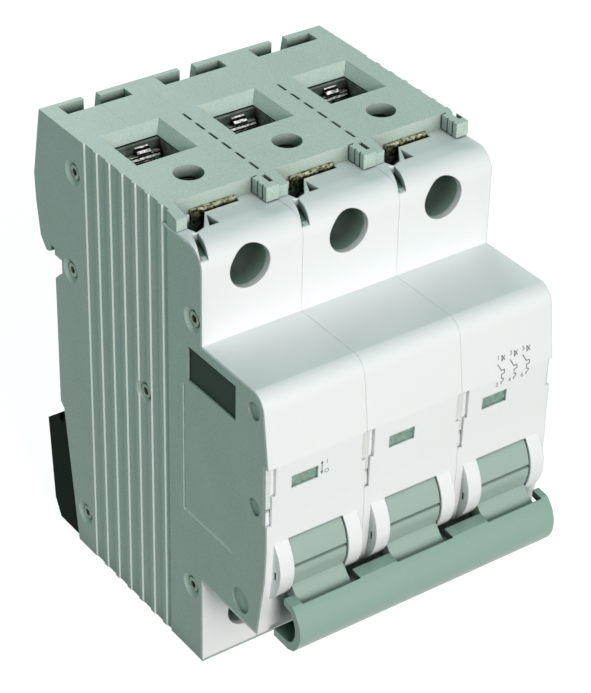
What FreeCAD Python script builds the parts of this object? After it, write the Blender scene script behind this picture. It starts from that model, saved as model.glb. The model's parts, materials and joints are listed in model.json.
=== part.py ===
import FreeCAD, Part
import math
import os
from FreeCAD import Vector

# Millimetres. While building, x runs across the poles from 0, y is 0 at the shoulder face and
# positive towards the rail, z is 0 at the lower end. The finished pieces are moved so that the
# origin is the middle of the base.
poleCount = 3
pitch = 18.0
height = 80.0
seatY = 43.0
hookReach = 5.6
reliefDepth = 2.2
railTop = 56.2
noseY = -17.4
noseTop = 61.0
noseBottom = 16.3
stepRise = 2.7
stepY = 10.5
roundR = 3.5
sideWall = 1.5
endWall = 2.0
coverWall = 1.2
coverLip = 0.45
windowWall = 0.35
barFront = -23.6
drumY, drumZ = -11.2, 29.7
drumR = 7.7
openingX0 = 3.95
handleGap = 0.2
runFit = 0.05
screwInset = 7.8
driverR = 3.6
ribPitch = 3.67
bandWidth = 2.6
bandDepth = 0.22
bandRearY = 32.8

half = pitch / 2
rearY = seatY + hookReach
shoulderTop = height - stepRise
openingX1 = pitch - openingX0
screwX, screwZ = half - 0.5, height - screwInset
midX = poleCount * half
midY = (rearY + barFront) / 2
width = poleCount * pitch


def box(x0, x1, y0, y1, z0, z1):
    return Part.makeBox(x1 - x0, y1 - y0, z1 - z0, Vector(x0, y0, z0))


def rodX(r, x0, x1, y, z):
    return Part.makeCylinder(r, x1 - x0, Vector(x0, y, z), Vector(1, 0, 0))


def rodY(r, y0, y1, x, z):
    return Part.makeCylinder(r, y1 - y0, Vector(x, y0, z), Vector(0, 1, 0))


def rodZ(r, z0, z1, x, y):
    return Part.makeCylinder(r, z1 - z0, Vector(x, y, z0), Vector(0, 0, 1))


def polygonBar(r, sides, a0, a1, u, v, along):
    # A bar of few sides, for hidden pieces that repeat. It runs along X or along Z.
    turn = Vector(1, 0, 0) if along == "x" else Vector(0, 0, 1)
    first = Vector(a0, u, v + r) if along == "x" else Vector(u + r, v, a0)
    middle = Vector(a0, u, v) if along == "x" else Vector(u, v, a0)
    spin = FreeCAD.Rotation(turn, 360 / sides)
    points = [first]
    for i in range(sides):
        points.append(middle + spin.multVec(points[-1] - middle))
    points[-1] = first
    return Part.Face(Part.makePolygon(points)).extrude(turn * (a1 - a0))


def faceOf(path, x):
    # A path holds (y, z) points; a pair of points is an arc through the first to the second.
    edges = []
    here = path[0]
    for step in path[1:] + [path[0]]:
        a = Vector(x, *here)
        if isinstance(step[0], tuple):
            through, end = step
            edges.append(Part.Arc(a, Vector(x, *through), Vector(x, *end)).toShape())
            here = end
        else:
            edges.append(Part.makeLine(a, Vector(x, *step)))
            here = step
    return Part.Face(Part.Wire(edges))


def prism(path, x0, x1):
    return faceOf(path, x0).extrude(Vector(x1 - x0, 0, 0))


def crossPrism(path, y0, y1):
    # The path holds (x, z) points.
    corners = [Vector(x, y0, z) for x, z in path]
    return Part.Face(Part.makePolygon(corners + corners[:1])).extrude(Vector(0, y1 - y0, 0))


def column(path, z0, z1):
    # The path holds (x, y) points.
    corners = [Vector(x, y, z0) for x, y in path]
    return Part.Face(Part.makePolygon(corners + corners[:1])).extrude(Vector(0, 0, z1 - z0))


def fused(shapes):
    return shapes[0].multiFuse(shapes[1:]).removeSplitter()


def flipped(shape):
    # The lower terminal end mirrors the upper one.
    return shape.mirror(Vector(0, 0, height / 2), Vector(0, 0, 1))


def shifted(shape, k):
    moved = shape.copy()
    moved.translate(Vector(k * pitch, 0, 0))
    return moved


def export(name, shapes):
    whole = shapes[0] if len(shapes) == 1 else Part.makeCompound(shapes)
    whole = whole.copy()
    whole.translate(Vector(-midX, -midY, 0))
    whole.exportStep("parts/" + name + ".step")
    print(name, len(whole.Solids), round(whole.Volume, 1), whole.isValid())


os.makedirs("parts", exist_ok=True)

# Front contour shared by the case and the white cover.
arcMid = roundR * (1 - math.sqrt(0.5))
frontLine = [
    (0, 0), (0, noseBottom), (noseY + 2.2, noseBottom), (noseY + 1.1, noseBottom + 6.7),
    (noseY + 0.3, noseBottom + 11.7), (noseY, 34.0), (noseY + 0.1, 39.0), (noseY - 0.1, noseTop - 12.0),
    (noseY + 1.1, noseTop - 3.0), ((noseY + 2.0, noseTop - 0.9), (noseY + 3.8, noseTop)),
    (0, noseTop), (0, shoulderTop - roundR), ((arcMid, shoulderTop - arcMid), (roundR, shoulderTop)),
]
seatRelief = seatY - reliefDepth
slopeFoot = seatY - 4.6
slopeTop = 25.4
caseLine = frontLine + [
    (stepY, shoulderTop), (stepY, height), (rearY - 2.4, height), (rearY, railTop + 11.3),
    (rearY - 0.3, railTop + 6.3), (rearY - 1.3, railTop + 0.4), (rearY - 3.0, railTop - 1.6),
    (rearY - 4.1, railTop - 1.3), (rearY - 4.2, railTop), (seatY, railTop), (seatY, railTop - 1.2),
    (seatRelief, railTop - 1.2), (seatRelief, railTop - 4.1), (seatY - 1.6, railTop - 4.1),
    (seatY, railTop - 5.6), (seatY, slopeTop + 1.0), (seatY - 1.1, slopeTop), (slopeFoot, 0),
]


def coverStrip(depth, x0, x1):
    outline = frontLine + [(26.0, shoulderTop), (26.0, -6.0), (0, -6.0)]
    blank = faceOf(outline, x0)
    ring = blank.cut(blank.makeOffset2D(-depth)).extrude(Vector(x1 - x0, 0, 0))
    top = shoulderTop + 10
    keep = prism([(-30, top), (stepY, top), (stepY, noseTop - 1), (1.3, noseTop - 1), (1.3, 0.4), (-30, 0.4)],
                 x0, x1)
    return ring.common(keep)


seatCut = fused([
    coverStrip(coverWall, 0.8, pitch - 0.8),
    coverStrip(coverLip, 0, pitch),
])

# Small cuts of the shoulder and the nose that pass through the cover into the case.
keyPocket = column([(1.95, stepY - 0.5), (1.95, stepY - 3.5), (2.5, stepY - 5.3), (4.2, stepY - 4.7),
                    (6.7, stepY - 1.1), (6.7, stepY - 0.5)], shoulderTop - 4.0, shoulderTop + 1)
keyNotch = column([(5.2, stepY - 4.7), (6.9, stepY - 4.7), (6.6, stepY - 1.7)],
                  shoulderTop - 1.8, shoulderTop + 1)
stripSlot = box(4.4, 12.9, stepY - 1.05, stepY, shoulderTop - 1.7, shoulderTop + 1)
cornerGroove = column([(1.7, 5.4), (2.6, 5.0), (1.3, -0.2), (0, -0.2), (0, 0.4)],
                      shoulderTop - 1.9, shoulderTop + 1)
noseNotches = [
    box(-1, 1.4, noseY - 2, noseY + 0.55, noseTop - 17.2, noseTop - 12.1),
    box(pitch - 0.75, pitch + 1, noseY - 2, noseY + 0.55, noseTop - 17.2, noseTop - 12.1),
    box(-1, 0.8, noseY - 2, noseY + 0.5, noseTop - 22.6, noseTop - 17.2),
]
sharedCuts = [keyPocket, keyNotch, stripSlot, cornerGroove] + noseNotches

# White cover with cheeks, window and driver holes.
cheekR = drumR + 0.3
cheekWide = 2.65
cheek = rodX(cheekR, openingX0 - cheekWide, openingX1 + cheekWide, drumY, drumZ).common(
    box(0, pitch, -30, noseY + 1.05, 0, noseTop))
cheek = cheek.cut(box(1.0, 2.0, drumY - 6.85, drumY - 6.3, drumZ - 1.4, drumZ))
drumCut = rodX(cheekR, openingX0, openingX1, drumY, drumZ)
drivers = rodY(driverR, -1, 2, screwX, screwZ)
windowZ = 45.2
windowX0, windowX1 = 4.3, 9.1
window = box(windowX0, windowX1, noseY - 1, noseY + 2, windowZ - 1.1, windowZ + 1.1)
flagFront = noseY + windowWall
flagBay = box(windowX0 - 0.55, windowX1 + 0.55, flagFront, noseY + 1.3, windowZ - 4.3, windowZ + 5.3)
guides = [
    box(x0, x1, noseY + 1.1, noseY + 2.0, windowZ - 4.7, windowZ + 5.3)
    for x0, x1 in ((windowX0 - 1.2, windowX0 + 0.2), (windowX1 - 0.2, windowX1 + 1.2))
]
cover = fused([seatCut, cheek])
for cutter in [drumCut, drivers, flipped(drivers), window, flagBay] + sharedCuts:
    cover = cover.cut(cutter)
cover = fused([cover] + guides)
covers = [shifted(cover, k) for k in range(poleCount)]

# Grey case halves.
chamberX0, chamberX1 = 3.0, pitch - 3.6
chamberY0, chamberY1 = 17.9, 33.8
chamberZ0, chamberZ1 = screwZ - 5.8, height - endWall
cavityTop = chamberZ0 - 1.4
mainCavity = [
    (seatY - 6.4, cavityTop), (5.6, cavityTop), (5.6, noseTop - 1.5), (-20, noseTop - 1.5),
    (-20, noseBottom + 1.5), (1.5, noseBottom + 1.5), (1.5, height - cavityTop),
    (seatY - 4.2, height - cavityTop), (seatY - 4.2, railTop - 5.4), (seatY - 6.4, railTop - 5.4),
]
cageX0, cageX1 = chamberX0 + 0.2, chamberX1 - 0.2
barX0, barX1 = cageX0 + 1.8, cageX1 - 1.7
barY0, barY1 = 30.4, 31.6
funnelX0, funnelY0 = chamberX0 + 0.25, 22.6


def lean(a, b, z):
    # Straight line from a at the chamber roof to b at the end face.
    return a + (b - a) * (z - chamberZ1) / endWall


low, high = chamberZ1 - 0.1, height + 0.5
funnel = prism([(funnelY0, low), (lean(32.2, 33.6, low), low), (lean(32.2, 33.6, high), high),
                (funnelY0, high)], funnelX0, pitch)
innerX, outerX = chamberX1 - 1.5, chamberX1 - 0.2
funnel = funnel.common(crossPrism([(funnelX0, low), (lean(innerX, outerX, low), low),
                                   (lean(innerX, outerX, high), high), (funnelX0, high)], 20, 40))
terminalCuts = [
    box(chamberX0, chamberX1, chamberY0, chamberY1, chamberZ0, chamberZ1),
    funnel,
    rodY(driverR, -1, chamberY0 + 1, screwX, screwZ),
    rodZ(2.4, screwZ, height + 1, screwX + 0.1, chamberY0 - 1.3),
    box(barX0 - 0.1, barX1 + 0.1, barY0 - 0.1, barY1 + 0.1, cavityTop - 1, chamberZ0 + 0.6),
]
rivetPlaces = [(36.4, height - 6.8), (38.1, 54.5), (16.6, 43.4), (2.7, 64.35), (36.0, 7.1), (3.3, 13.6)]
rivetR = 1.0

# Clip geometry in its own tilted frame: n points out of the sloping rear face, t up along it.
slope = math.atan2(seatY - 1.1 - slopeFoot, slopeTop)
slopeSin, slopeCos = math.sin(slope), math.cos(slope)


def onSlope(n, t):
    return (slopeFoot + n * slopeCos + t * slopeSin, t * slopeCos - n * slopeSin)


def slopeBox(x0, x1, n0, n1, t0, t1):
    return prism([onSlope(n0, t0), onSlope(n1, t0), onSlope(n1, t1), onSlope(n0, t1)], x0, x1)


clipChannel = fused([
    slopeBox(half - 2.7, half + 2.7, -1.2, 1.0, -2.0, 25.0),
    slopeBox(half - 4.7, half + 4.7, -2.0, -0.8, -2.0, 25.0),
    slopeBox(half - 2.7, half + 2.7, -2.0, -0.8, 24.0, 31.0),
])

# Case tabs that reach over the cover's shoulder: a short one on the left, a ribbed one on the right.
tabBase = shoulderTop + 0.1
leftTab = prism([(stepY + 0.1, height), (stepY - 1.1, height), (stepY - 3.8, height - 0.6),
                 (stepY - 3.8, tabBase), (stepY + 0.1, tabBase)], 0, 1.85)
ribTab = box(pitch - 2.3, pitch, stepY - 4.1, stepY + 0.1, tabBase + 0.15, height)
for y, deep in ((stepY - 0.35, 0.9), (stepY - 1.9, 0.25), (stepY - 3.2, 0.25)):
    ribTab = ribTab.cut(box(pitch - 3, pitch - 2.3 + deep, y, y + 0.35, shoulderTop, height + 1))
ribTab = ribTab.cut(box(pitch - 0.85, pitch - 0.15, stepY - 2.8, stepY - 0.45, height - 1.5, height + 1))

bossR = 3.2
stubR = 1.6
handleX0, handleX1 = openingX0 + handleGap, openingX1 - handleGap
armY, armZ = 6.0, 48.0
tripY, tripZ = 14.5, 46.5
pinR = 1.2

body = prism(caseLine, 0, pitch).cut(seatCut).cut(prism(mainCavity, sideWall, pitch - sideWall))
for cutter in terminalCuts:
    body = body.cut(cutter).cut(flipped(cutter))
bosses = [
    box(x0, x1, drumY - bossR, drumY + bossR, drumZ - bossR, drumZ + bossR)
    for x0, x1 in ((sideWall - 0.1, openingX0 - 0.05), (openingX1 + 0.05, pitch - sideWall + 0.1))
]
body = fused([body, leftTab, ribTab] + bosses)
lipY = seatY - 0.75
cuts = sharedCuts + [
    rodX(stubR + runFit, 1.9, pitch - 1.9, drumY, drumZ),
    rodX(pinR, 0.9, pitch - 0.9, armY, armZ),
    rodX(pinR, 0.9, pitch - 0.9, tripY, tripZ),
    clipChannel,
    box(7.6, 10.4, lipY, rearY + 1, railTop + 3.8, height + 1),
    box(10.4, 14.8, lipY, lipY + 2.6, height - 2.4, height + 1),
    crossPrism([(2.9, height), (5.1, height - 2.2), (7.7, height - 2.2), (7.7, height + 1),
                (2.9, height + 1)], lipY, lipY + 3.0),
]
for y, z in rivetPlaces:
    cuts.append(polygonBar(rivetR, 8, -1, pitch + 1, y, z, "x"))
for j in range(6):
    # The rear edge of each band slopes, so that it catches the light.
    rear = bandRearY - j * ribPitch
    band = column([(-0.3, rear + 0.3), (bandDepth, rear - bandDepth), (bandDepth, rear - bandWidth),
                   (-0.3, rear - bandWidth)], -1, height + 1)
    cuts += [band, band.mirror(Vector(half, 0, 0), Vector(1, 0, 0))]
for cutter in cuts:
    body = body.cut(cutter)
leftHalf = body.common(box(-1, half, -40, 60, -2, height + 10))
rightHalf = body.common(box(half, pitch + 1, -40, 60, -2, height + 10))

# Features of the two outer side faces only.
grooveY = bandRearY - 6 * ribPitch
sideFeatures = [
    column([(-0.3, grooveY + 0.3), (bandDepth, grooveY - bandDepth), (bandDepth + 0.15, grooveY - 1.5),
            (-0.3, grooveY - 1.5)], -1, height + 1),
    rodX(2.2, -1, 0.5, drumY + 0.6, noseBottom + 3.7),
    rodX(1.5, -1, 0.5, noseY + 3.5, 40.2),
    rodX(1.5, -1, 0.5, noseY + 3.8, noseTop - 3.6),
    box(-1, 0.9, -8.9, 3.9, noseTop - 8.1, noseTop - 1.9),
    box(-1, 0.2, 4.8, 5.15, 28.0, 51.5),
    box(-1, 0.2, -8.3, 5.15, 27.8, 28.15),
]
for y, z in rivetPlaces:
    sideFeatures.append(Part.makeCone(2.3, 1.3, 0.8, Vector(-0.1, y, z), Vector(1, 0, 0)))
lefts = [shifted(leftHalf, k) for k in range(poleCount)]
rights = [shifted(rightHalf, k) for k in range(poleCount)]
for feature in sideFeatures:
    lefts[0] = lefts[0].cut(feature)
    rights[-1] = rights[-1].cut(feature.mirror(Vector(midX, 0, 0), Vector(1, 0, 0)))

rivets = []
for y, z in rivetPlaces:
    rivet = fused([
        polygonBar(rivetR, 8, 0.5, width - 0.5, y, z, "x"),
        polygonBar(1.25, 16, 0.42, 0.7, y, z, "x"),
        polygonBar(1.25, 16, width - 0.7, width - 0.42, y, z, "x"),
    ])
    rivets.append(rivet.cut(polygonBar(0.65, 8, 0, width, y, z, "x")))
plug = box(0.3, 0.9, -8.85, 3.85, noseTop - 8.05, noseTop - 1.95)
plugs = [plug, plug.mirror(Vector(midX, 0, 0), Vector(1, 0, 0))]


# Handle drum with its lever, and the tie bar across the levers, placed from the drum's axis.
def fromDrum(a, b):
    return (drumY + a, drumZ + b)


linkPin = fromDrum(-0.04, 4.5)
linkEndY, linkEndZ = 9.36, 40.74
linkX = half + 2.2
wireR = 0.5
lever = prism([
    fromDrum(-4.3, -3.8), fromDrum(-6.9, -3.3), fromDrum(-8.2, -4.8), fromDrum(-9.8, -5.9),
    fromDrum(-10.9, -8.5), fromDrum(-10.1, -11.4), fromDrum(-9.2, -11.9), fromDrum(-6.1, -11.9),
    fromDrum(-5.65, -5.6),
], handleX0, handleX1)
for x0, x1 in ((handleX0 - 1, half - 2.5), (half + 2.5, handleX1 + 1)):
    lever = lever.cut(box(x0, x1, drumY - 20, drumY, drumZ - 15, drumZ - 6.1))
handle = fused([
    rodX(drumR, handleX0, handleX1, drumY, drumZ),
    lever,
    rodX(stubR, 2.0, pitch - 2.0, drumY, drumZ),
])
linkRoom = [fromDrum(-1.5, 3.5), fromDrum(-7.4, 10.3), fromDrum(17.2, 16.3), fromDrum(17.2, 3.5)]
handle = handle.cut(prism(linkRoom, half + 0.7, openingX1 + 0.15))
handle = handle.cut(rodX(wireR + 0.1, half - 3.1, half + 1.0, *linkPin))
handle = handle.cut(prism([fromDrum(-7.0, 0.7), fromDrum(-8.3, 1.25), fromDrum(-8.3, 0.05)], 4, pitch - 4))
handles = [shifted(handle, k) for k in range(poleCount)]

tieBar = prism([
    fromDrum(-8.1, -4.3), fromDrum(-10.2, -4.5), ((barFront, drumZ - 8.6), fromDrum(-10.8, -12.8)),
    fromDrum(-9.4, -13.3), fromDrum(-5.6, -13.2), fromDrum(-5.6, -11.9), fromDrum(-9.2, -11.9),
    fromDrum(-10.2, -11.4), (fromDrum(-11.1, -8.5), fromDrum(-9.7, -5.8)), fromDrum(-8.1, -5.5),
], 2.0, width - 2.0)
for k in range(poleCount):
    tieBar = tieBar.cut(box(k * pitch + handleX0 - 0.3, k * pitch + handleX1 + 0.9,
                            drumY - 10.3, drumY - 6.8, drumZ - 6.0, drumZ - 2.7))

# Position flag behind the window.
flag = box(windowX0 - 0.5, windowX1 + 0.5, flagFront + 0.05, noseY + 1.05, windowZ - 4.0, windowZ + 2.2)

# Terminals: cage, screw, clamp plate and bar, built for the upper end.
cageTop = chamberZ1 - 0.2
cage = box(cageX0, cageX1, chamberY0 + 0.2, barY1 + 1.4, chamberZ0, cageTop).cut(
    box(cageX0 + 1.4, cageX1 - 1.3, chamberY0 + 2.7, barY1, chamberZ0 - 1, cageTop + 1)).cut(
    rodY(2.5 + runFit, chamberY0 - 1, chamberY0 + 4, screwX, screwZ))
headY0, headY1, tipY = 7.6, 11.0, 24.8
screw = fused([
    rodY(3.2, headY0, headY1, screwX, screwZ),
    rodY(2.5, headY1, tipY, screwX, screwZ),
])
screw = screw.cut(box(screwX - 0.5, screwX + 0.5, headY0 - 1, headY0 + 1.3, screwZ - 2.7, screwZ + 2.7))
screw = screw.cut(box(screwX - 2.0, screwX + 2.0, headY0 - 1, headY0 + 1.3, screwZ - 0.5, screwZ + 0.5))
plate = box(cageX0 + 1.6, cageX1 - 1.5, tipY, tipY + 1.2, screwZ - 3.6, screwZ + 4.2)


def grip(z0, z1):
    # Serrations on the face of a bar that takes the cable.
    teeth = 9
    rise = (z1 - z0) / teeth
    return [(barY0 + 0.35 * (i % 2), z0 + i * rise / 2) for i in range(2 * teeth)]


yokeFoot, yokeTop, yokeSheet = 45.2, cavityTop - 3.6, 1.2
lineBar = prism([(barY1, height - 2.7), (barY1, yokeTop), (22.0, yokeTop), (22.0, yokeTop + 1.2),
                 (barY0, yokeTop + 1.2)] + grip(screwZ - 3.2, screwZ + 4.0) + [(barY0, height - 3.5)],
                barX0, barX1)
for x0, x1 in ((barX0 - 1, screwX - 0.1), (screwX + 2.3, barX1 + 1)):
    lineBar = lineBar.cut(box(x0, x1, barY0 - 1, barY1 + 1, height - 3.8, height))
loadBar = prism([(barY0, 3.0), (barY1, 3.0), (barY1, 17.2), (3.2, 17.2), (3.2, 16.0), (barY0, 16.0)]
                + grip(height - screwZ + 3.2, height - screwZ - 4.0), barX0, barX1)
busPlate = box(4.6, 12.7, stepY - 0.7, stepY - 0.05, shoulderTop - 1.7, shoulderTop + 0.65)

# Magnet, contacts and trip parts.
coilY = 28.0
coilFoot, coilTop = yokeFoot + yokeSheet, yokeTop - yokeSheet
yoke = prism([(21.5, yokeTop), (36.6, yokeTop), (36.6, yokeFoot), (21.5, yokeFoot), (21.5, coilFoot),
              (36.6 - yokeSheet, coilFoot), (36.6 - yokeSheet, coilTop), (21.5, coilTop)],
             sideWall, pitch - sideWall)
yoke = yoke.cut(box(half - 1, half + 1, coilY - 1, coilY + 1, yokeFoot - 1, coilFoot + 1))
coil = polygonBar(6.2, 16, coilFoot, coilTop, half, coilY, "z")
coil = coil.cut(polygonBar(3.17, 16, coilFoot - 1, coilTop + 1, half, coilY, "z"))
plungerFoot = coilFoot + 0.4 * (coilTop - coilFoot)
plunger = fused([
    rodZ(3.04, plungerFoot, coilTop - 0.1, half, coilY),
    rodZ(0.9, 42.3, plungerFoot + 0.5, half, coilY),
])
fixedContact = fused([
    prism([(22.4, 33.4), (23.6, 33.4), (23.6, yokeFoot - 1.2), (36.0, yokeFoot - 1.2), (36.0, yokeFoot),
           (22.4, yokeFoot)], half - 3, half + 3),
    box(half - 2.4, half + 2.4, 21.4, 22.5, 34.2, 38.4),
]).cut(box(half - 1.3, half + 1.3, coilY - 1.3, coilY + 1.3, yokeFoot - 2, yokeFoot + 1))
offDir = math.radians(-65.2)


def armPoint(a, b):
    c, s = math.cos(offDir), math.sin(offDir)
    return (armY + a * c - b * s, armZ + a * s + b * c)


arm = prism([armPoint(-3, -2.2), armPoint(10, -2.2), armPoint(19, -1.5), armPoint(19, 2.7),
             armPoint(16.5, 2.7), armPoint(16.5, 1.5), armPoint(11, 3.0), armPoint(-3, 3.0)],
            half - 2.0, half + 1.2)


def bar(a, b, r, x0, x1):
    # Flat bar of width 2 r between the points a and b.
    long = math.hypot(b[0] - a[0], b[1] - a[1])
    ny, nz = -(b[1] - a[1]) / long * r, (b[0] - a[0]) / long * r
    return prism([(a[0] - ny, a[1] - nz), (b[0] - ny, b[1] - nz), (b[0] + ny, b[1] + nz),
                  (a[0] + ny, a[1] + nz)], x0, x1)


# The slot lets the link end drift while both turn at a constant ratio.
slotR, slotLen, slotLean = wireR + 0.3, 1.2, math.radians(50)
slotA = (linkEndY, linkEndZ)
slotB = (linkEndY + slotLen * math.cos(slotLean), linkEndZ + slotLen * math.sin(slotLean))
arm = arm.cut(rodX(pinR + runFit, half - 3, half + 2, armY, armZ))
arm = arm.cut(bar(slotA, slotB, slotR, half - 3, half + 2))
for y, z in (slotA, slotB):
    arm = arm.cut(rodX(slotR, half - 3, half + 2, y, z))
linkRod = wireR - 0.1
link = fused([
    bar(linkPin, slotA, linkRod, linkX - linkRod, linkX + linkRod),
    rodX(wireR, half - 2.8, linkX + wireR, *linkPin),
    rodX(wireR, half - 2.6, linkX + wireR, linkEndY, linkEndZ),
])
tripX = half + 5.2
trip = fused([
    prism([(12.9, 44.9), (19.5, 44.9), (25.0, 41.0), (30.0, 41.0), (30.0, 42.2), (25.5, 42.2),
           (17.0, 46.6), (15.6, 48.3), (12.9, 48.3)], tripX - 1.2, tripX + 1.3),
    box(half - 1.5, tripX - 0.7, 26.2, 30.0, 41.0, 42.2),
]).cut(rodX(pinR + runFit, tripX - 2, tripX + 2, tripY, tripZ))
pins = [rodX(pinR, 0.9, pitch - 0.9, armY, armZ), rodX(pinR, 0.9, pitch - 0.9, tripY, tripZ)]
bimetal = box(3.0, 8.5, 3.8, 4.7, 17.2, 36.0)
arcPlates = []
for j in range(8):
    z = 18.4 + j * 1.9
    arcPlates.append(column([(3.2, 23), (6.0, 23), (half, 29), (pitch - 6.0, 23), (pitch - 3.2, 23),
                             (pitch - 3.2, 37), (3.2, 37)], z, z + 0.8))
arcWalls = [
    box(x0, x1, 22.5, 38.0, 17.4, 33.2)
    for x0, x1 in ((sideWall, 3.2), (pitch - 3.2, pitch - sideWall))
]

# DIN-rail clip: sloping block with a tongue that runs in the case channel.
clip = prism([
    (seatY - 0.9, slopeTop - 0.65), (seatY - 0.05, slopeTop - 1.5), (seatY - 0.05, slopeTop - 3.8),
    (seatY + 1.4, slopeTop - 3.8), (seatY + 1.4, slopeTop - 2.55), (rearY - 0.4, slopeTop - 5.6),
    (seatY + 3.9, 3.6), (seatY + 2.2, 0.4), (slopeFoot + 0.25, 0.4), onSlope(0.15, 1.0), onSlope(0.15, 24.9),
], 0.4, pitch - 0.4)
clip = fused([clip, slopeBox(half - 2.5, half + 2.5, -1.2, 0.2, 2.0, 23.6),
              slopeBox(half - 4.5, half + 4.5, -1.85, -1.0, 2.0, 23.6)])
clipSpring = slopeBox(half - 1.5, half + 1.5, -1.85, -0.95, 23.6, 31.0)

for k in range(poleCount):
    n = str(k + 1)
    export("case_left_" + n, [lefts[k]])
    export("case_right_" + n, [rights[k]])
    export("front_cover_" + n, [covers[k]])
    export("handle_" + n, [handles[k]])
    export("flag_" + n, [shifted(flag, k)])
    export("din_clip_" + n, [shifted(clip, k)])
    export("screw_upper_" + n, [shifted(screw, k)])
    export("screw_lower_" + n, [shifted(flipped(screw), k)])
    export("plate_upper_" + n, [shifted(plate, k)])
    export("plate_lower_" + n, [shifted(flipped(plate), k)])
    export("plunger_" + n, [shifted(plunger, k)])
    export("contact_arm_" + n, [shifted(arm, k)])
    export("link_" + n, [shifted(link, k)])
    export("trip_lever_" + n, [shifted(trip, k)])


def everyPole(shapes):
    return [shifted(s, k) for k in range(poleCount) for s in shapes]


export("tie_bar", [tieBar])
export("rivets", rivets)
export("side_plugs", plugs)
export("clip_springs", everyPole([clipSpring]))
export("cages_upper", everyPole([cage]))
export("cages_lower", everyPole([flipped(cage)]))
export("line_bars", everyPole([lineBar]))
export("load_bars", everyPole([loadBar]))
export("bus_plates", everyPole([busPlate]))
export("coils", everyPole([coil]))
export("yokes", everyPole([yoke]))
export("fixed_contacts", everyPole([fixedContact]))
export("bimetals", everyPole([bimetal]))
export("arc_plates", everyPole(arcPlates))
export("arc_walls", everyPole(arcWalls))
export("pivot_pins", everyPole(pins))
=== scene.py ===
import json
import math
import bpy
from mathutils import Matrix, Vector
from mathutils.bvhtree import BVHTree


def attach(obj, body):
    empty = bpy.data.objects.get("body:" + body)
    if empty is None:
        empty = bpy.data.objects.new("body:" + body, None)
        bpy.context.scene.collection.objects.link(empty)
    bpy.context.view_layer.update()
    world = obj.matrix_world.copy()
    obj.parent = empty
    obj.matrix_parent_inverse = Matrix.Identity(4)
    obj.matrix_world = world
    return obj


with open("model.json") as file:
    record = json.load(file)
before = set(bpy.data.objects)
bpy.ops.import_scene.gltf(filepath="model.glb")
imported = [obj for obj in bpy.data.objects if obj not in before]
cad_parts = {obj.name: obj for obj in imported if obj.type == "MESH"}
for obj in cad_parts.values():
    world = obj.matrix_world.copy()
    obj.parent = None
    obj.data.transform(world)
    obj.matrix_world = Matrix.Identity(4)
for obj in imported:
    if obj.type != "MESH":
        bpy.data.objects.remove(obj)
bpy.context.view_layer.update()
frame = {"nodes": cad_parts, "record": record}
nodes = frame["nodes"]
mm = 0.001
print("frame loaded")


# Colours and shader nodes
def linear(hexText):
    channels = [int(hexText[i:i + 2], 16) / 255 for i in (0, 2, 4)]
    return [c / 12.92 if c <= 0.04045 else ((c + 0.055) / 1.055) ** 2.4 for c in channels] + [1.0]


def addNode(tree, kind, settings=None, links=None):
    # A setting is a property or the value of an input. A link is another node's output, a number or a
    # hex colour.
    node = tree.nodes.new("ShaderNode" + kind)
    for key, value in (settings or {}).items():
        if key in node.inputs:
            node.inputs[key].default_value = value
        else:
            setattr(node, key, value)
    for socket, source in (links or {}).items():
        if isinstance(source, bpy.types.NodeSocket):
            tree.links.new(source, node.inputs[socket])
        else:
            node.inputs[socket].default_value = linear(source) if isinstance(source, str) else source
    return node


def newMaterial(name):
    material = bpy.data.materials.new(name)
    material.use_nodes = True
    material.node_tree.nodes.clear()
    return material, material.node_tree


def zoneMask(tree, place, zone):
    # 1 inside a zone of the moulding, and 0 elsewhere. A zone starts at firstY and reaches forwards, in
    # strips pitchMm apart that are wideMm wide, between sideX and outX from the middle, on both sides.
    zone = {**wholeMoulding, "wideMm": zone["reachMm"], **zone}
    spot = addNode(tree, "SeparateXYZ", {}, {"Vector": place}).outputs
    ahead = addNode(tree, "Math", {"operation": "SUBTRACT"}, {0: zone["firstY"] * mm, 1: spot["Y"]}).outputs[0]
    step = addNode(tree, "Math", {"operation": "MODULO"}, {0: ahead, 1: zone["pitchMm"] * mm}).outputs[0]
    aside = addNode(tree, "Math", {"operation": "ABSOLUTE"}, {0: spot["X"]}).outputs[0]
    limits = (("LESS_THAN", step, zone["wideMm"]), ("GREATER_THAN", ahead, 0),
              ("LESS_THAN", ahead, zone["reachMm"]), ("GREATER_THAN", aside, zone["sideX"]),
              ("LESS_THAN", aside, zone["outX"]), ("GREATER_THAN", spot["Z"], zone["lowZ"]),
              ("LESS_THAN", spot["Z"], zone["highZ"]))
    mask = 1.0
    for operation, value, limit in limits:
        test = addNode(tree, "Math", {"operation": operation}, {0: value, 1: limit * mm})
        mask = addNode(tree, "Math", {"operation": "MULTIPLY"}, {0: mask, 1: test.outputs[0]}).outputs[0]
    return mask


# Limits of a zone that names none of its own, all past the part's size
wholeMoulding = {"pitchMm": 99, "sideX": -1, "outX": 99, "lowZ": -1, "highZ": 99}
# What all mouldings share: the octaves of clouding and grain, how much clouding goes with the grain and the
# range that spans dark to light, the openness at which a nook takes the full painted shade, the spread of
# roughness about its middle, the samples of nooks and edges, and the depth of the grain.
moulding = {"cloudDetail": 3.0, "grainDetail": 2.0, "cloudShare": 0.25, "darkAt": 0.22, "lightAt": 1.02,
            "nookFrom": 0.08, "smoother": 0.05, "rougher": 0.06, "nookSamples": 8, "edgeSamples": 6,
            "grainDeepMm": 0.02}


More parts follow.
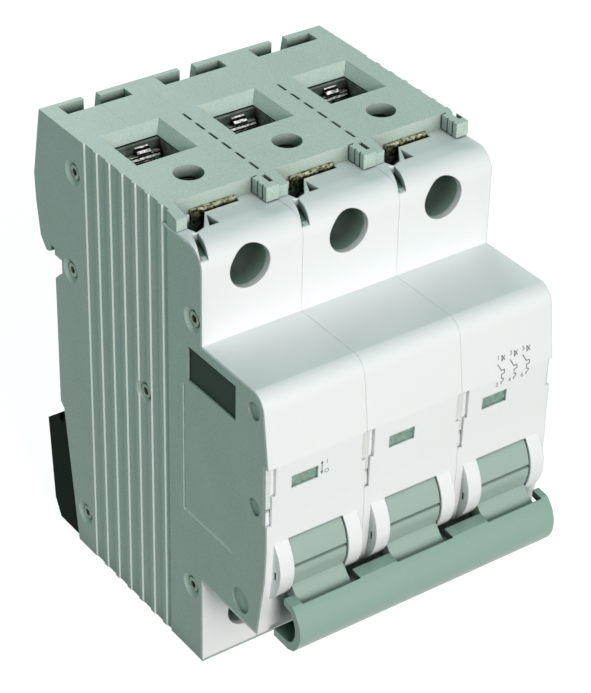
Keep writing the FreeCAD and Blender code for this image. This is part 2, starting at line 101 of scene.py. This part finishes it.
def mouldedPlastic(name, look):
    # Injection moulded: a spark-eroded grain of a few tenths of a millimetre, drawn coarser so that it
    # shows, faint clouding from the melt flow, edges rounded by the tool, painted shade in nooks and in given
    # zones, and painted highlights and paler catches in other zones.
    material, tree = newMaterial(name)
    place = addNode(tree, "TexCoord").outputs["Object"]
    cloud = addNode(tree, "TexNoise", {"Scale": 1 / (look["cloudMm"] * mm), "Detail": moulding["cloudDetail"]},
                    {"Vector": place})
    grain = addNode(tree, "TexNoise", {"Scale": 1 / (look["grainMm"] * mm), "Detail": moulding["grainDetail"]},
                    {"Vector": place})
    speckle = addNode(tree, "Math", {"operation": "MULTIPLY_ADD"},
                      {0: cloud.outputs["Fac"], 1: moulding["cloudShare"], 2: grain.outputs["Fac"]})
    shade = addNode(tree, "MapRange", {"From Min": moulding["darkAt"], "From Max": moulding["lightAt"]},
                    {"Value": speckle.outputs[0]})
    tint = addNode(tree, "Mix", {"data_type": "RGBA"},
                   {"Factor": shade.outputs["Result"], "A": look["dark"], "B": look["light"]})
    # Painted shade in given zones, such as inside the driver holes
    for zone in look.get("paintedShadeZones", ()):
        mask = zoneMask(tree, place, zone)
        tint = addNode(tree, "Mix", {"data_type": "RGBA"},
                       {"Factor": mask, "A": tint.outputs["Result"], "B": zone["tint"]})
    # Painted shade: the colour goes towards the deep colour where ambient occlusion finds a nook or recess
    nook = addNode(tree, "AmbientOcclusion",
                   {"samples": moulding["nookSamples"], "Distance": look["nookMm"] * mm})
    clear = addNode(tree, "MapRange", {"From Min": moulding["nookFrom"], "From Max": look["nookTo"]},
                    {"Value": nook.outputs["AO"]})
    paintedShadeAndHighlight = addNode(tree, "Mix", {"data_type": "RGBA"},
                     {"Factor": clear.outputs["Result"], "A": look["deep"], "B": tint.outputs["Result"]})
    # Painted highlights on given zones, and the paler colour of the catches
    for zone in look.get("paintedHighlightsAndCatches", ()):
        mask = zoneMask(tree, place, zone)
        paintedShadeAndHighlight = addNode(tree, "Mix", {"data_type": "RGBA"},
                         {"Factor": mask, "A": paintedShadeAndHighlight.outputs["Result"], "B": zone["tint"]})
    rough = addNode(tree, "MapRange", {"To Min": look["rough"] - moulding["smoother"],
                                       "To Max": look["rough"] + moulding["rougher"]},
                    {"Value": grain.outputs["Fac"]})
    edge = addNode(tree, "Bevel", {"samples": moulding["edgeSamples"], "Radius": look["edgeMm"] * mm})
    bump = addNode(tree, "Bump", {"Strength": look["bump"], "Distance": moulding["grainDeepMm"] * mm},
                   {"Height": grain.outputs["Fac"], "Normal": edge.outputs["Normal"]})
    shader = addNode(tree, "BsdfPrincipled", {"IOR": look["ior"], "Specular IOR Level": look["sheen"]},
                     {"Base Color": paintedShadeAndHighlight.outputs["Result"], "Roughness": rough.outputs["Result"],
                      "Normal": bump.outputs["Normal"]})
    addNode(tree, "OutputMaterial", {}, {"Surface": shader.outputs[0]})
    return material


# What all metals share: the octaves of drawn lines and patches, the ranges that span dark to light in the
# patches, the painted shade in grooves and the stripes, the waver of the stripes, the spread of roughness
# about its middle, the samples of grooves and edges, the rounding of edges, and the strength and depth of the
# lines.
working = {"lineDetail": 3.0, "patchDetail": 2.0, "patchFrom": 0.35, "patchTo": 0.65, "grooveShadeFrom": 0.35,
           "grooveShadeTo": 0.75, "stripeFrom": 0.4, "stripeTo": 0.6, "waver": 1.2, "smoother": 0.08, "rougher": 0.12,
           "grooveSamples": 8, "edgeSamples": 4, "edgeMm": 0.08, "lineBump": 0.25, "lineDeepMm": 0.02}


def workedMetal(name, look):
    # Rolled, drawn or plated metal: fine lines along the working direction, a patchy sheen, painted shade in
    # its grooves, and stripes where a look asks for them.
    material, tree = newMaterial(name)
    place = addNode(tree, "TexCoord").outputs["Object"]
    stretch = addNode(tree, "Mapping", {"Scale": look["lines"]}, {"Vector": place})
    lines = addNode(tree, "TexNoise", {"Scale": 1 / (look["lineMm"] * mm), "Detail": working["lineDetail"]},
                    {"Vector": stretch.outputs["Vector"]})
    patch = addNode(tree, "TexNoise", {"Scale": 1 / (look["patchMm"] * mm), "Detail": working["patchDetail"]},
                    {"Vector": place})
    spread = addNode(tree, "MapRange", {"From Min": working["patchFrom"], "From Max": working["patchTo"]},
                     {"Value": patch.outputs["Fac"]})
    tint = addNode(tree, "Mix", {"data_type": "RGBA"},
                   {"Factor": spread.outputs["Result"], "A": look["dark"], "B": look["light"]})
    # Painted shade: the colour goes towards the deep colour where ambient occlusion finds a groove
    groove = addNode(tree, "AmbientOcclusion",
                     {"samples": working["grooveSamples"], "Distance": look["grooveShadeMm"] * mm})
    grooveShade = addNode(tree, "MapRange", {"From Min": working["grooveShadeFrom"], "From Max": working["grooveShadeTo"]},
                   {"Value": groove.outputs["AO"]})
    grooveShaded = addNode(tree, "Mix", {"data_type": "RGBA"},
                     {"Factor": grooveShade.outputs["Result"], "A": look["deep"], "B": tint.outputs["Result"]})
    if "stripeMm" in look:  # Stripes: on the tinned copper painted highlights and shade, on the wire the turns of its winding
        bandScale = math.pi / 10 / (look["stripeMm"] * mm)  # Gives one band for each stripe
        stripes = addNode(tree, "TexWave", {"bands_direction": "Z", "Scale": bandScale,
                                          "Distortion": working["waver"]}, {"Vector": place})
        stripeMask = addNode(tree, "MapRange", {"From Min": working["stripeFrom"], "From Max": working["stripeTo"]},
                        {"Value": stripes.outputs["Fac"]})
        grooveShaded = addNode(tree, "Mix", {"data_type": "RGBA"},
                         {"Factor": stripeMask.outputs["Result"], "A": look["deep"], "B": grooveShaded.outputs["Result"]})
    rough = addNode(tree, "MapRange", {"To Min": look["rough"] - working["smoother"],
                                       "To Max": look["rough"] + working["rougher"]},
                    {"Value": lines.outputs["Fac"]})
    edge = addNode(tree, "Bevel", {"samples": working["edgeSamples"], "Radius": working["edgeMm"] * mm})
    bump = addNode(tree, "Bump", {"Strength": working["lineBump"], "Distance": working["lineDeepMm"] * mm},
                   {"Height": lines.outputs["Fac"], "Normal": edge.outputs["Normal"]})
    shader = addNode(tree, "BsdfPrincipled", {"Metallic": 1.0},
                     {"Base Color": grooveShaded.outputs["Result"], "Roughness": rough.outputs["Result"],
                      "Normal": bump.outputs["Normal"]})
    addNode(tree, "OutputMaterial", {}, {"Surface": shader.outputs[0]})
    return material


# Each look's deep colour is the painted shade that its nooks go towards.
plastics = {
    # Polyamide, spark-eroded satin, grey with a green cast
    "mouldedPolyamideCase": {
        "dark": "A3B7AE", "light": "CFDED7", "deep": "2A4036", "rough": 0.46, "bump": 0.35, "ior": 1.53,
        "sheen": 0.35, "grainMm": 0.22, "cloudMm": 9, "edgeMm": 0.08, "nookMm": 8, "nookTo": 0.7,
        "paintedHighlightsAndCatches": [
            # Crests of the bands, painted pale as highlights
            {"tint": "F2FAF6", "firstY": 20.36, "pitchMm": 3.67, "wideMm": 0.26, "reachMm": 22.36,
             "sideX": 26.72},
            # Upright and lower line of the frame on each side, painted pale as highlights too
            {"tint": "F6FCFA", "firstY": -7.12, "reachMm": 0.36, "sideX": 26.7, "lowZ": 28, "highZ": 51.6},
            {"tint": "E6F2EC", "firstY": -7.33, "reachMm": 13.5, "sideX": 26.7, "lowZ": 27.68,
             "highZ": 28.3},
            # Catches at the nose's edges, without the green
            {"tint": "D9DEDD", "firstY": -28.6, "reachMm": 2, "lowZ": 38.2, "highZ": 49.2},
        ],
        "paintedShadeZones": [
            # Painted shade inside the driver holes, upper and lower
            {"tint": "A0BCB0", "firstY": 0, "reachMm": 12.3, "outX": 26, "lowZ": 62, "highZ": 76},
            {"tint": "A0BCB0", "firstY": 0, "reachMm": 12.3, "outX": 26, "lowZ": 4, "highZ": 18},
        ]},
    # Polycarbonate, smoother tool, off-white
    "mouldedPolycarbonateCover": {
        "dark": "E8ECEE", "light": "ECEFF1", "deep": "566C62", "rough": 0.34, "bump": 0.12, "ior": 1.58,
        "sheen": 0.5, "grainMm": 0.25, "cloudMm": 10, "edgeMm": 0.3, "nookMm": 9, "nookTo": 0.5},
    # Polyamide, polished tool, grey
    "mouldedPolyamideHandle": {
        "dark": "99B0A6", "light": "A1B6AD", "deep": "1C2E26", "rough": 0.3, "bump": 0.03, "ior": 1.53,
        "sheen": 0.5, "grainMm": 0.3, "cloudMm": 8, "edgeMm": 0.2, "nookMm": 2, "nookTo": 0.85},
    # Polyamide, polished tool, darker grey
    "mouldedPolyamideBar": {
        "dark": "87A69B", "light": "8FACA2", "deep": "0E2016", "rough": 0.3, "bump": 0.03, "ior": 1.53,
        "sheen": 0.5, "grainMm": 0.3, "cloudMm": 8, "edgeMm": 0.25, "nookMm": 12, "nookTo": 0.8},
    # Acetal, black, slippery satin
    "mouldedAcetalClip": {
        "dark": "13211A", "light": "192821", "deep": "0A1410", "rough": 0.6, "bump": 0.25, "ior": 1.48,
        "sheen": 0.02, "grainMm": 0.22, "cloudMm": 6, "edgeMm": 0.15, "nookMm": 4, "nookTo": 0.48},
    # Polypropylene, black, dull
    "mouldedPlug": {
        "dark": "20382F", "light": "274037", "deep": "121E19", "rough": 0.5, "bump": 0.3, "ior": 1.5,
        "sheen": 0.08, "grainMm": 0.2, "cloudMm": 5, "edgeMm": 0.1, "nookMm": 4, "nookTo": 0.48},
    # Polyamide, mottled green as it shows behind its window
    "mouldedFlag": {
        "dark": "4E6E62", "light": "98B2A8", "deep": "2E463C", "rough": 0.4, "bump": 0.1, "ior": 1.5,
        "sheen": 0.5, "grainMm": 0.7, "cloudMm": 0.9, "edgeMm": 0.1, "nookMm": 1.6, "nookTo": 0.6},
    # Pad print, a film of grey ink
    "padPrintedInk": {
        "dark": "687675", "light": "788685", "deep": "5A6866", "rough": 0.55, "bump": 0.1, "ior": 1.5,
        "sheen": 0.3, "grainMm": 0.2, "cloudMm": 0.6, "edgeMm": 0.02, "nookMm": 1, "nookTo": 0.4},
    # Vulcanised fibre, pressed, brown and matt
    "pressedFibreBoard": {
        "dark": "8C6B4E", "light": "A07F60", "deep": "4A3626", "rough": 0.75, "bump": 0.5, "ior": 1.45,
        "sheen": 0.3, "grainMm": 0.3, "cloudMm": 2, "edgeMm": 0.05, "nookMm": 4, "nookTo": 0.48},
    # Acetal, natural white
    "mouldedTripLever": {
        "dark": "D8D8CC", "light": "E2E2D6", "deep": "8A8A80", "rough": 0.4, "bump": 0.15, "ior": 1.5,
        "sheen": 0.5, "grainMm": 0.2, "cloudMm": 5, "edgeMm": 0.1, "nookMm": 4, "nookTo": 0.48},
}
# The three numbers of "lines" squeeze the pattern along x, y and z. The working direction is the least.
# Each metal's deep colour is the painted shade in its grooves, and the colour of its dark stripes.
metals = {
    "zincPlatedSteel": {"dark": "B4BABB", "light": "D2D7D8", "deep": "5C6363", "rough": 0.3,
                        "lines": (1, 6, 6), "lineMm": 0.5, "grooveShadeMm": 0.6, "patchMm": 1.4},
    "rolledBrass": {"dark": "545030", "light": "FFFBDC", "deep": "1A2018", "rough": 0.28,
                    "lines": (1, 8, 8), "lineMm": 0.8, "grooveShadeMm": 1.1, "patchMm": 0.5},
    "rolledCopper": {"dark": "B06B48", "light": "D08E66", "deep": "5A3626", "rough": 0.32,
                     "lines": (1, 6, 6), "lineMm": 0.6, "grooveShadeMm": 0.6, "patchMm": 1.4},
    # Its stripes are painted highlights and shade
    "tinnedCopper": {"dark": "6A726F", "light": "FFFFFF", "deep": "0C1210", "rough": 0.36,
                     "lines": (1, 6, 6), "lineMm": 0.6, "grooveShadeMm": 0.9, "patchMm": 0.5, "stripeMm": 0.55},
    "blackPassivatedZinc": {"dark": "6A7A70", "light": "8A9A90", "deep": "2A3830", "rough": 0.5,
                            "lines": (3, 3, 3), "lineMm": 0.5, "grooveShadeMm": 2, "patchMm": 1.4},
    "drawnNickelBrass": {"dark": "66786A", "light": "84968A", "deep": "4C5E50", "rough": 0.5,
                         "lines": (1, 5, 5), "lineMm": 0.5, "grooveShadeMm": 0.6, "patchMm": 1.4},
    "enamelledWire": {"dark": "8A3D1E", "light": "A85A2E", "deep": "3C1C10", "rough": 0.25,
                      "lines": (1, 1, 12), "lineMm": 1.2, "grooveShadeMm": 0.6, "patchMm": 1.4, "stripeMm": 1.0},
    "softIron": {"dark": "6C7072", "light": "868A8C", "deep": "34383A", "rough": 0.45,
                 "lines": (6, 6, 1), "lineMm": 0.5, "grooveShadeMm": 0.6, "patchMm": 1.4},
    "springSteel": {"dark": "7C8082", "light": "9EA2A4", "deep": "3A3E40", "rough": 0.3,
                    "lines": (6, 6, 1), "lineMm": 0.5, "grooveShadeMm": 0.6, "patchMm": 1.4},
    "bimetalStrip": {"dark": "A9A18E", "light": "C2BAA6", "deep": "54503F", "rough": 0.35,
                     "lines": (6, 6, 1), "lineMm": 0.5, "grooveShadeMm": 0.6, "patchMm": 1.4},
}
finishes = {name: mouldedPlastic(name, look) for name, look in plastics.items()}
finishes.update({name: workedMetal(name, look) for name, look in metals.items()})
slotFinish = {
    "case_grey": "mouldedPolyamideCase", "cover_white": "mouldedPolycarbonateCover",
    "handle_grey": "mouldedPolyamideHandle", "bar_grey": "mouldedPolyamideBar",
    "clip_black": "mouldedAcetalClip", "plug_black": "mouldedPlug", "flag_green": "mouldedFlag",
    "fibre_board": "pressedFibreBoard", "trip_plastic": "mouldedTripLever",
    "zinc_steel": "zincPlatedSteel", "brass_plate": "rolledBrass", "copper": "rolledCopper",
    "tinned_copper": "tinnedCopper", "black_zinc": "blackPassivatedZinc",
    "nickel_brass": "drawnNickelBrass", "coil_wire": "enamelledWire", "magnet_steel": "softIron",
    "spring_steel": "springSteel", "bimetal_strip": "bimetalStrip",
}
for row in frame["record"]["subparts"]:
    mesh = nodes[row["node"]].data
    mesh.materials.clear()
    mesh.materials.append(finishes[slotFinish[row["material_slot"]]])
print("finishes set")


# Marks printed on the covers. Their places are (x, z) in millimetres, and they are laid on the face of the
# cover by rays that start in front of it, at fromY in metres.
ink = {"thick": 0.05, "line": 0.17, "textMm": 1.1, "fromY": -1}
# Pole 3: a breaker symbol for each pole with the numbers of its terminals, from the foot of the symbol
poleMarks = {"cover": "front_cover_3", "symbolX": (16.2, 18.7, 21.2), "foot": 47.9,
             "path": [(-0.15, 3.5), (0.55, 2.3), (1.15, 2.3), (1.15, 1.75), (0.55, 1.6), (0.55, 0.95),
                      (0.85, 0.85), (0.98, 0.6), (0.85, 0.35), (0.55, 0.25), (0.55, -0.1)],
             "cross": [((0.8, 4.0), (1.25, 4.7)), ((0.8, 4.7), (1.25, 4.0)), ((0.68, 3.9), (0.68, 4.8))],
             "topText": (0, 4.3), "footText": (-0.25, -0.35)}
# Pole 1: I and O beside the window, with an arrow between them
switchMarks = {"cover": "front_cover_1", "arrowX": -17.25, "arrowZ": (44.65, 46.8), "arrowHead": 0.32,
               "signX": -16.35, "signs": (("I", 46.15), ("O", 44.45))}


def stroke(a, b):
    run = Vector((b[0] - a[0], 0, b[1] - a[1])) * mm
    middle = Vector((a[0] + b[0], 0, a[1] + b[1])) * mm / 2
    bpy.ops.mesh.primitive_cube_add(size=1, location=middle, rotation=(0, -math.atan2(run.z, run.x), 0))
    bar = bpy.context.active_object
    bar.scale = (run.length + ink["line"] * mm, ink["thick"] * mm, ink["line"] * mm)
    bpy.ops.object.transform_apply(location=True, rotation=True, scale=True)
    return bar


def letter(text, x, z):
    bpy.ops.object.text_add(location=(x * mm, 0, z * mm), rotation=(math.pi / 2, 0, 0))
    item = bpy.context.active_object
    item.data.body = text
    item.data.size = ink["textMm"] * mm
    item.data.extrude = ink["thick"] * mm / 2
    item.data.align_x = "CENTER"
    bpy.ops.object.convert(target="MESH")
    bpy.ops.object.transform_apply(location=True, rotation=True, scale=True)
    return bpy.context.active_object


def printOn(pieces, name, cover):
    # Joins the pieces, and lays each of their points on the face of the cover.
    bpy.ops.object.select_all(action="DESELECT")
    for piece in pieces:
        piece.select_set(True)
    bpy.context.view_layer.objects.active = pieces[0]
    bpy.ops.object.join()
    mark = bpy.context.active_object
    mark.name = name
    mesh = nodes[cover].data
    face = BVHTree.FromPolygons([v.co for v in mesh.vertices], [tuple(p.vertices) for p in mesh.polygons])
    for point in mark.data.vertices:
        start = Vector((point.co.x, ink["fromY"], point.co.z))
        point.co.y += face.ray_cast(start, Vector((0, 1, 0)))[0].y
    mark.data.materials.clear()
    mark.data.materials.append(finishes["padPrintedInk"])
    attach(mark, "case")


def makePoleMarks():
    bpy.ops.object.select_all(action="DESELECT")
    foot = poleMarks["foot"]
    path = poleMarks["path"]
    pieces = []
    for pole, x in enumerate(poleMarks["symbolX"], 1):
        for a, b in list(zip(path, path[1:])) + poleMarks["cross"]:
            pieces.append(stroke((x + a[0], foot + a[1]), (x + b[0], foot + b[1])))
        for number, (dx, dz) in ((2 * pole - 1, poleMarks["topText"]), (2 * pole, poleMarks["footText"])):
            pieces.append(letter(str(number), x + dx, foot + dz))
    printOn(pieces, "poleMarks", poleMarks["cover"])


def makeSwitchMarks():
    bpy.ops.object.select_all(action="DESELECT")
    low, high = switchMarks["arrowZ"]
    x, head = switchMarks["arrowX"], switchMarks["arrowHead"]
    pieces = [stroke((x, low), (x, high))]
    for tip, turn in ((low, 1), (high, -1)):
        pieces += [stroke((x, tip), (x + side * head / 2, tip + turn * head)) for side in (-1, 1)]
    pieces += [letter(text, switchMarks["signX"], z) for text, z in switchMarks["signs"]]
    printOn(pieces, "switchMarks", switchMarks["cover"])


makePoleMarks()
makeSwitchMarks()
print("marks printed")


# Camera. Angles are in degrees, lengths in metres, and the focal length is in pixels of the frame.
view = {"azimuth": -36.0154, "elevation": 33.6888, "roll": 1.3602, "distance": 0.39001, "focalPx": 2417.9,
        "highPx": 693, "sensorMm": 36, "aim": (0, 0, 0.040), "right": 0.000616, "up": 0.003511,
        "near": 0.01, "far": 20}


def makeCamera():
    a, e, r = (math.radians(view[k]) for k in ("azimuth", "elevation", "roll"))
    back = Vector((math.sin(a) * math.cos(e), -math.cos(a) * math.cos(e), math.sin(e)))
    level = (-back).cross(Vector((0, 0, 1))).normalized()
    above = level.cross(-back)
    right = level * math.cos(r) + above * math.sin(r)
    up = above * math.cos(r) - level * math.sin(r)
    place = Vector(view["aim"]) + back * view["distance"] - right * view["right"] + up * view["up"]
    turn = Matrix((right, up, back)).transposed().to_4x4()
    data = bpy.data.cameras.new("camera")
    data.sensor_fit = "AUTO"
    data.sensor_width = view["sensorMm"]
    data.lens = view["sensorMm"] * view["focalPx"] / view["highPx"]
    data.clip_start, data.clip_end = view["near"], view["far"]
    camera = bpy.data.objects.new("camera", data)
    bpy.context.scene.collection.objects.link(camera)
    camera.matrix_world = Matrix.Translation(place) @ turn
    bpy.context.scene.camera = camera


# Floor and light
stage = {"floorHalf": 1.6, "floorZ": 0.0, "world": 0.31, "sky": "C6FFF4", "white": "FFFFFF",
         "paper": "A8A8A8", "bounce": "6E7974", "lift": 0.84, "lampAim": (0, 0, 0.03),
         "lights": [
             {"name": "keyLight", "at": (-0.11, -0.74, 0.32), "size": 0.32, "watt": 5.4, "colour": "FFF3F1"},
             {"name": "topLight", "at": (0.30, 1.15, 0.55), "size": 0.5, "watt": 6.5, "colour": "FFFFFF"},
         ]}


def floorMaterial():
    # Pale paper: the camera and reflections see it near white with the object's shadow on it, and the
    # light that it throws back on the object is that of a mid grey studio floor.
    material, tree = newMaterial("paleFloor")
    rays = addNode(tree, "LightPath").outputs
    direct = addNode(tree, "Math", {"operation": "MAXIMUM"},
                     {0: rays["Is Camera Ray"], 1: rays["Is Glossy Ray"]})
    seen = addNode(tree, "Math", {"operation": "MAXIMUM"},
                   {0: direct.outputs[0], 1: rays["Is Transmission Ray"]})
    paper = addNode(tree, "BsdfDiffuse", {}, {"Color": stage["paper"]})
    lift = addNode(tree, "Emission", {"Strength": stage["lift"]}, {"Color": stage["white"]})
    pale = addNode(tree, "AddShader", {}, {0: paper.outputs[0], 1: lift.outputs[0]})
    grey = addNode(tree, "BsdfDiffuse", {}, {"Color": stage["bounce"]})
    mix = addNode(tree, "MixShader", {}, {"Fac": seen.outputs[0], 1: grey.outputs[0], 2: pale.outputs[0]})
    addNode(tree, "OutputMaterial", {}, {"Surface": mix.outputs[0]})
    return material


def makeFloor():
    bpy.ops.object.select_all(action="DESELECT")
    bpy.ops.mesh.primitive_plane_add(size=2 * stage["floorHalf"], location=(0, 0, stage["floorZ"]))
    floor = bpy.context.active_object
    floor.name = "floor"
    floor.data.materials.append(floorMaterial())


def makeWorld():
    # White to the camera and in reflections, and a dimmer, greener sky as light on the object
    world = bpy.data.worlds.new("studio")
    bpy.context.scene.world = world
    world.use_nodes = True
    tree = world.node_tree
    tree.nodes.clear()
    rays = addNode(tree, "LightPath").outputs
    seen = addNode(tree, "Math", {"operation": "MAXIMUM"},
                   {0: rays["Is Camera Ray"], 1: rays["Is Glossy Ray"]})
    strength = addNode(tree, "MapRange", {"To Min": stage["world"], "To Max": 1.0}, {"Value": seen.outputs[0]})
    sky = addNode(tree, "Mix", {"data_type": "RGBA"},
                  {"Factor": seen.outputs[0], "A": stage["sky"], "B": stage["white"]})
    glow = addNode(tree, "Background", {},
                   {"Color": sky.outputs["Result"], "Strength": strength.outputs["Result"]})
    addNode(tree, "OutputWorld", {}, {"Surface": glow.outputs[0]})


def makeLights():
    for lamp in stage["lights"]:
        data = bpy.data.lights.new(lamp["name"], "AREA")
        data.size = lamp["size"]
        data.energy = lamp["watt"]
        data.color = linear(lamp["colour"])[:3]
        item = bpy.data.objects.new(lamp["name"], data)
        bpy.context.scene.collection.objects.link(item)
        item.location = lamp["at"]
        towards = Vector(stage["lampAim"]) - item.location
        item.rotation_euler = towards.to_track_quat("-Z", "Y").to_euler()


makeCamera()
makeFloor()
makeWorld()
makeLights()
bpy.context.scene.view_settings.view_transform = "Standard"
print("camera, floor and light set")
